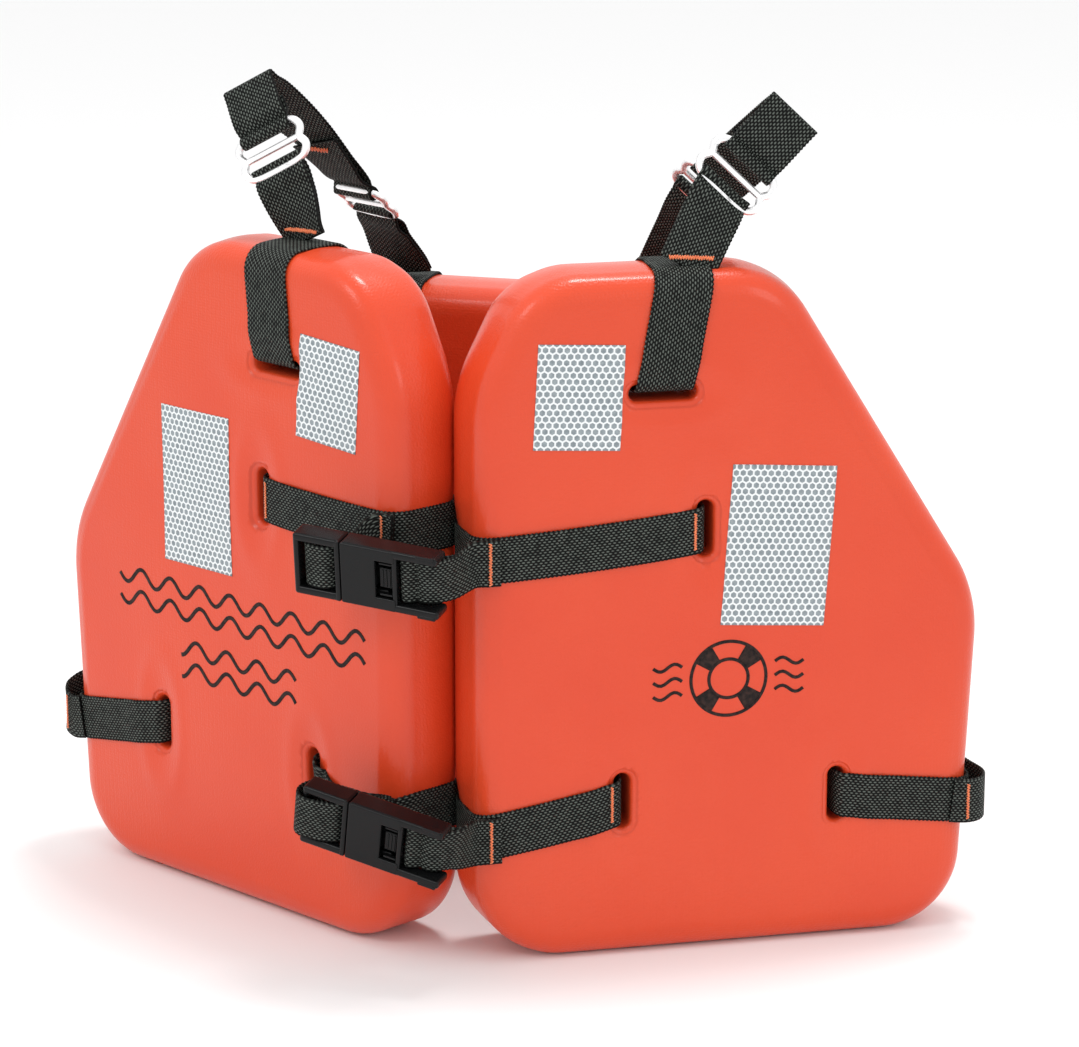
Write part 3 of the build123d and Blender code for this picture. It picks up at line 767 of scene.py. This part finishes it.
    shares = (0.12, 0.35, 0.6, 0.85, 1.02)
    lift = [loopLay(k)[1] * (1.0 + (gap - 1.0) * max(0.0, 1 - k / 0.35)) for k in shares]
    outer = [rearLow + drop * k + a for k, a in zip(shares, lift)]
    inner = [rearLow + drop * k - a for k, a in zip(shares, lift)]
    path = outer[::-1] + roundBar(rearLow, aft, -slideOut, gap)[1:-1] + inner
    lay = [loopLay(k)[0] for k in shares]
    lay = np.array(lay[::-1] + [slideAcross] * (len(path) - 2 * len(shares)) + lay)
    swinging = (body, "back", tuple((rearLow + drop * 0.2) / 1000), tuple((rearLow + drop * 0.92) / 1000))
    webAlong(name + "RearLoop", path, lay, swinging, [name + "_rear_loop"], wide)

    # the band round the top of the back panel
    bu, bw = vest["backLoop"][side]
    backLift = lambda w: float(faceLift(1, np.float64(side * bu), np.float64(w), backSeat))
    vw = overTop(bw, vest["backHigh"], backLift, 4)
    webAlong(f"back{name.title()}LoopBand", backPoint(side, np.full(len(vw), float(bu)), vw[:, 0], vw[:, 1]),
             allAlong(len(vw), (1.0, 0, 0)), "back", [f"back_{name}_loop_web"], wide)

    # thread: at the foot of the loop, down the rear strap, and a box on the rear loop
    threadTack(name + "FootTack", base + rise * 0.13 + faceOut * 2.0, unit(alongU * 0.9 + across * 0.1), faceOut, 24,
               body, 17)
    tackAcross, tackOut = rearLay(legLong - tackAt)
    tackMid, tackLine = rearHigh - aft * tackAt + bow(legLong - tackAt), tackAcross + 0.35 * aft
    threadTack(name + "StrapTack", tackMid + tackOut * 3.5, tackLine, tackOut, 12, body, 6, 1.8)
    threadTack(name + "InnerTack", tackMid - tackOut * 1.6, tackLine, -tackOut, 13, body, 7, 1.8)
    near, far, half = 0.42, 0.95, 11
    corners = [(near, -half), (near, half), (far, half), (far, -half)]
    corners += [corners[n] for n in (0, 2, 3, 1)]
    boxLine = [rearLow + drop * k + loopLay(k)[0] * a + loopLay(k)[1] * 1.95 for k, a in corners]
    boxPath = np.concatenate([np.linspace(a, b, 12)[:-1] for a, b in zip(boxLine[:-1], boxLine[1:])])
    tubeAlong(name + "BoxStitch", boxPath, 0.3, thread, swinging, 5, 0.9)
say("shoulder webs ready")


# prints: generic waves on one panel, a life ring on the other
def inkStroke(name, side, u, w, halfWidth, lift=0.22):
    # a flat stroke of even width laid on the dipped face
    line = smoothPath(np.stack([u, w, np.zeros_like(u)], 1), 1.5)[0]
    tangent = unit(np.gradient(line[:, :2], axis=0))
    normal = np.stack([-tangent[:, 1], tangent[:, 0]], 1)
    edge = np.array([-1.0, -0.5, 0.0, 0.5, 1.0]) * halfWidth
    at = line[:, None, :2] + normal[:, None] * edge[None, :, None]
    top = onFront(side, at[..., 0], at[..., 1], lift)
    obj = gridMesh(name, top, ink, closed=False, flip=side > 0)
    solid = obj.modifiers.new("film", "SOLIDIFY")
    solid.thickness, solid.offset = 0.00018, -1
    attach(obj, sideName[side] + "_front")
    return obj


waves = {"high": 4.6, "length": 25.0, "half": 1.15}
for n, (u0, u1, w) in enumerate([(224, 24, 177), (224, 24, 164), (172, 78, 143), (172, 78, 130)]):
    u = np.linspace(u0, u1, 60)
    rise = waves["high"] * np.sin((u - u1) / waves["length"] * 2 * math.pi)
    inkStroke(f"waveLine{n}", -1, u, w + rise, waves["half"])
ring = {"at": (139, 156), "big": 21.0, "small": 11.0, "line": 0.9, "band": 4.6, "spread": 0.32, "waveFrom": 26,
        "waveTo": 42, "waveRow": 8, "waveHigh": 2.0}
ringU, ringW = ring["at"]
t = np.linspace(0, 2 * math.pi, 90)
for n, radius in enumerate((ring["big"], ring["small"])):
    inkStroke(f"ringLine{n}", 1, ringU + radius * np.cos(t), ringW + radius * np.sin(t), ring["line"])
for n in range(4):
    a = math.pi / 4 + n * math.pi / 2 + np.linspace(-ring["spread"], ring["spread"], 20)
    mid = (ring["big"] + ring["small"]) / 2
    inkStroke(f"ringBand{n}", 1, ringU + mid * np.cos(a), ringW + mid * np.sin(a), ring["band"])
for n, flip in enumerate((1, -1)):
    u = ringU + flip * np.linspace(ring["waveFrom"], ring["waveTo"], 20)
    for m, row in enumerate((-1, 0, 1)):
        wave = ring["waveHigh"] * np.sin(np.linspace(0, 2 * math.pi, 20))
        inkStroke(f"ringWave{n}{m}", 1, u, ringW + row * ring["waveRow"] + wave, ring["line"])
say("prints ready")

# reflective patches
patches = {("upper", 1): {"at": (56, 316), "size": (47, 57), "turn": -3.0},
           ("lower", 1): {"at": (166, 229), "size": (58, 89), "turn": -4.0},
           ("upper", -1): {"at": (50, 310), "size": (45, 57), "turn": 4.0},
           ("lower", -1): {"at": (156, 238), "size": (56, 90), "turn": -0.5}}
for (key, side), spec in patches.items():
    turn = math.radians(spec["turn"])
    a, b = np.meshgrid(np.linspace(-0.5, 0.5, 36) * spec["size"][0], np.linspace(-0.5, 0.5, 40) * spec["size"][1])
    u = spec["at"][0] + a * math.cos(turn) - b * math.sin(turn)
    w = spec["at"][1] + a * math.sin(turn) + b * math.cos(turn)
    patch = gridMesh(f"{sideName[side]}{key.title()}Patch", onFront(side, u, w, 0.42), honeycomb, closed=False,
                     uvSize=spec["size"], flip=side < 0)
    solid = patch.modifiers.new("sheet", "SOLIDIFY")
    solid.thickness, solid.offset = 0.00035, -1
    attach(patch, sideName[side] + "_front")
    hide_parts(f"{sideName[side]}_{key}_patch")
say("patches ready")


# buckles
def roundedBox(size, r):
    # each octant of a ball of radius r pushed out to its own corner of the box; size is x0, x1, y0, y1, z0, z1
    lo, hi = np.array(size[::2], float), np.array(size[1::2], float)
    mid, half = (lo + hi) / 2, (hi - lo) / 2
    quarter = np.linspace(0, math.pi / 2, 5)
    phi = (quarter[None] + np.arange(4)[:, None] * math.pi / 2).ravel()
    sx, sy = np.repeat([1, -1, -1, 1], 5), np.repeat([1, 1, -1, -1], 5)
    theta = np.concatenate([quarter - math.pi / 2, quarter])
    sz = np.repeat([-1, 1], 5)
    flat, tall = np.cos(theta)[:, None], np.repeat(np.sin(theta)[:, None], 20, 1)
    ball = np.stack([flat * np.cos(phi), flat * np.sin(phi), tall], -1)
    sign = np.stack(np.broadcast_arrays(sx[None], sy[None], sz[:, None]), -1)
    return mid + sign * (half - r) + ball * r


def blockPiece(name, boxes, spec, material, body, nodes):
    # several rounded boxes in one mesh, along the buckle's own axes
    verts, faces, count = [], [], 0
    for box in boxes:
        grid = roundedBox(box[:6], box[6])
        rows, cols = grid.shape[:2]
        index = np.arange(rows * cols).reshape(rows, cols) + count
        count += rows * cols
        faces += cellQuads(index, np.roll(index, -1, 1)).tolist()
        faces += [index[0][::-1].tolist(), index[-1].tolist()]
        verts.append(grid.reshape(-1, 3))
    local = np.concatenate(verts)
    world = spec["centre"] + local[:, :1] * spec["run"] + local[:, 1:2] * spec["up"] + local[:, 2:] * spec["face"]
    obj = finishMesh(name, world, faces, material)
    mergeClose(obj)
    obj.modifiers.new("even", "WEIGHTED_NORMAL").keep_sharp = False
    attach(obj, body)
    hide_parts(*nodes)
    return obj


def mergeClose(obj):
    bm = bmesh.new()
    bm.from_mesh(obj.data)
    bmesh.ops.remove_doubles(bm, verts=bm.verts, dist=1e-7)
    bmesh.ops.dissolve_degenerate(bm, edges=bm.edges, dist=1e-7)
    bmesh.ops.recalc_face_normals(bm, faces=bm.faces)
    bm.to_mesh(obj.data)
    bm.free()


buckles = {
    "upper": {"at": (-30, -21, 226), "yaw": 8, "droop": 4, "lean": 12, "key": "chest",
              "fold": [(-35.5, -8), (-37.2, -2), (-35.0, 3.6), (-29.5, 5.2), (-23.5, 4.6), (-20.0, 1.0),
                       (-19.8, -5.0)]},
    "lower": {"at": (-28, -23, 81), "yaw": 8, "droop": 11, "lean": 12, "key": "waist",
              "fold": [(-42.0, -10), (-46.5, -4), (-46.6, 3), (-42.5, 7.7), (-35.0, 7.6), (-26.5, 5.6),
                       (-20.6, 2.0), (-19.8, -5.0)]},
}
def outOf(side, u=0.0):
    # straight out of a front panel's face, leaning outward by u
    return panelPoint(side, u, -1, 0) - panelPoint(side, 0, 0, 0)


# every box is x0, x1, y0, y1, z0, z1 and its edge radius; x runs along the buckle, z out of its face
socketBoxes = [(-14.2, 6.2, -17.9, 17.9, 3.8, 6.8, 1.0), (4.5, 17.6, 10.8, 17.9, 3.8, 6.8, 1.0),
               (4.5, 17.6, -17.9, -10.8, 3.8, 6.8, 1.0), (15.6, 18.4, -17.8, 17.8, -6.5, 6.0, 0.9),
               (-14.2, 17.6, -17.9, 17.9, -6.6, -4.1, 0.8), (-14.2, 42.0, 13.5, 18.2, -6.5, 6.6, 1.7),
               (-14.2, 42.0, -18.2, -13.5, -6.5, 6.6, 1.7), (8.0, 15.6, 8.6, 9.8, 2.4, 5.4, 0.4),
               (8.0, 15.6, -9.8, -8.6, 2.4, 5.4, 0.4), (30.0, 40.5, 16.6, 18.7, 3.4, 6.9, 0.6),
               (30.0, 40.5, -18.7, -16.6, 3.4, 6.9, 0.6)]
plugBoxes = [(-42.0, -14.6, 13.5, 18.2, -6.5, 6.6, 1.7), (-42.0, -14.6, -18.2, -13.5, -6.5, 6.6, 1.7),
             (-17.6, -14.6, -17.9, 17.9, -6.5, 6.8, 1.0), (-42.0, -38.8, -17.9, 17.9, -6.5, 6.5, 1.4),
             (-16.0, 12.0, 8.1, 11.9, -2.5, 2.5, 0.7), (-16.0, 12.0, -11.9, -8.1, -2.5, 2.5, 0.7)]
tongueBoxes = [(-13.6, 15.0, -5.9, 5.9, -2.0, 1.2, 0.4), (7.2, 14.8, -5.9, 5.9, 0.2, 3.6, 0.8),
               (9.0, 10.0, -5.0, 5.0, 3.0, 4.1, 0.3), (11.0, 12.0, -5.0, 5.0, 3.0, 4.1, 0.3),
               (13.0, 14.0, -5.0, 5.0, 3.0, 4.1, 0.3)]
buckleBar = {"socket": 22.3, "plug": -26.0, "half": 14.2, "radius": 1.5, "webGap": 3.0}
for key, spec in buckles.items():
    yaw, droop, tip = (math.radians(spec[k]) for k in ("yaw", "droop", "lean"))
    run = np.array([math.cos(yaw) * math.cos(droop), -math.sin(yaw) * math.cos(droop), -math.sin(droop)])
    face = np.array([-math.sin(yaw) * math.cos(tip), -math.cos(yaw) * math.cos(tip), -math.sin(tip)])
    face = unit(face - run * (face @ run))
    up, belt = np.cross(face, run), spec["key"]
    spec.update(run=run, face=face, up=up, centre=toGround(spec["at"]))
    local = lambda x, z, y=0.0, b=spec: b["centre"] + b["run"] * x + b["up"] * y + b["face"] * z
    blockPiece(key + "Socket", socketBoxes, spec, moulded, "left_front", [key + "_buckle_socket"])
    blockPiece(key + "Plug", plugBoxes, spec, moulded, key + "_plug", [key + "_buckle_plug"])
    blockPiece(key + "Tongue", tongueBoxes, spec, moulded, key + "_release", [key + "_buckle_tongue"])
    reach = np.linspace(-buckleBar["half"], buckleBar["half"], 5)
    for x, body in ((buckleBar["socket"], "left_front"), (buckleBar["plug"], key + "_plug")):
        bar = tubeAlong(key + body.title() + "Bar", [local(x, 0, y) for y in reach], buckleBar["radius"], moulded,
                        body, 12, 0.8)

    # web from the left belt's inner end round the socket's bar and back
    upright = np.array([0, 0, 1.0])
    endW, endR = (vest[belt][k][1] - hang[belt, k][0] for k in (1, -1))
    knot = lambda u, v: panelPoint(1, u, v, endW)
    path = [knot(13, -4.0), knot(6, -4.3), knot(-1, -4.6), local(44, -9.5), local(33, 0.0)]
    path += roundBar(local(buckleBar["socket"], 0), run, -face, buckleBar["webGap"])
    path += [local(33, -5.5), local(44, -13), knot(-1, -2.9), knot(6, -2.6), knot(13, -2.4)]
    lay = [upright] * 3 + [up] * (len(path) - 6) + [upright] * 3
    webAlong(key + "SocketWeb", path, np.array(lay), "left_front", [key + "_socket_web"])

    # web from the right belt's inner end, behind the plug and round its bar
    spot = lambda u, v: panelPoint(-1, u, v, endR)
    path = [spot(-1, -2.8), spot(6, -3.4), local(-15, -13.6), local(-24, -13.0)]
    path += [local(x, z) for x, z in spec["fold"]]
    path += [local(-19, -9.0), local(-14, -10.6), spot(6, -5.2), spot(-1, -4.5)]
    lay = [upright] * 2 + [up] * (len(path) - 4) + [upright] * 2
    sliding = ("right_front", key + "_plug", tuple(spot(8, -4) / 1000), tuple(local(-16, -10) / 1000))
    webAlong(key + "PlugWeb", path, np.array(lay), sliding, [key + "_plug_web", key + "_belt_tail"])

    # thread: where each belt's end is sewn to the buckle's web, and beside three of the four slots
    for side, u, w, v in ((1, 7, endW, -5.4), (-1, 5, endR, -5.7)):
        threadTack(f"{key}{sideName[side].title()}EndTack", panelPoint(side, u, v, w), upright, outOf(side), 23,
                   sideName[side] + "_front", 14, 0.8)
    for side in (1, -1):
        if (key, side) == ("lower", -1):
            continue
        u0, w0 = vest[belt][side]
        lift = liftAt(side, u0 - 6, w0)
        threadTack(f"{key}{sideName[side].title()}SlotTack", panelPoint(side, u0 - 6.5, -(lift + 2.0), w0 - 0.5),
                   upright, outOf(side), 20, sideName[side] + "_front", 14, 0.7)
for side, u, v, above in ((1, 277, -3.4, 0), (-1, 274, -2.9, 2)):
    w = vest["side"][side][1] - 0.97 * sideLoop["drop"][side] + above
    threadTack(sideName[side] + "SideTack", panelPoint(side, u, v, w), (0, 0, 1), outOf(side, 0.2), 20,
               sideName[side] + "_front", 13, 0.8)
say("buckles ready")

# the studio
floor = {"size": 14.0, "color": (0.93, 0.93, 0.93)}
bpy.ops.mesh.primitive_plane_add(size=floor["size"], location=(0, 0, -0.0005))
ground = bpy.context.object
ground.name = "floor"
groundMat, _, _ = shaderOf("paleFloor", floor["color"], 0.9, Specular_IOR_Level=0.1)
ground.data.materials.append(groundMat)
world = bpy.data.worlds.new("studio")
world.use_nodes = True
world.node_tree.nodes["Background"].inputs["Color"].default_value = (1, 1, 1, 1)
world.node_tree.nodes["Background"].inputs["Strength"].default_value = 1.0
bpy.context.scene.world = world
lamps = {"key": ((-1.0, -1.5, 1.9), 0.7, 9), "top": ((0.2, 0.3, 2.2), 0.4, 17), "rim": ((1.7, -0.9, 1.0), 0.5, 2.5)}
for name, (place, size, power) in lamps.items():
    data = bpy.data.lights.new(name, "AREA")
    data.size, data.energy = size, power
    lamp = bpy.data.objects.new(name, data)
    lamp.location = place
    direction = np.array([0, 0, 0.2]) - np.array(place)
    lamp.rotation_euler = mathutils.Vector(direction).to_track_quat("-Z", "Y").to_euler()
    bpy.context.scene.collection.objects.link(lamp)
bpy.context.scene.view_settings.view_transform = "Standard"
say("studio ready")
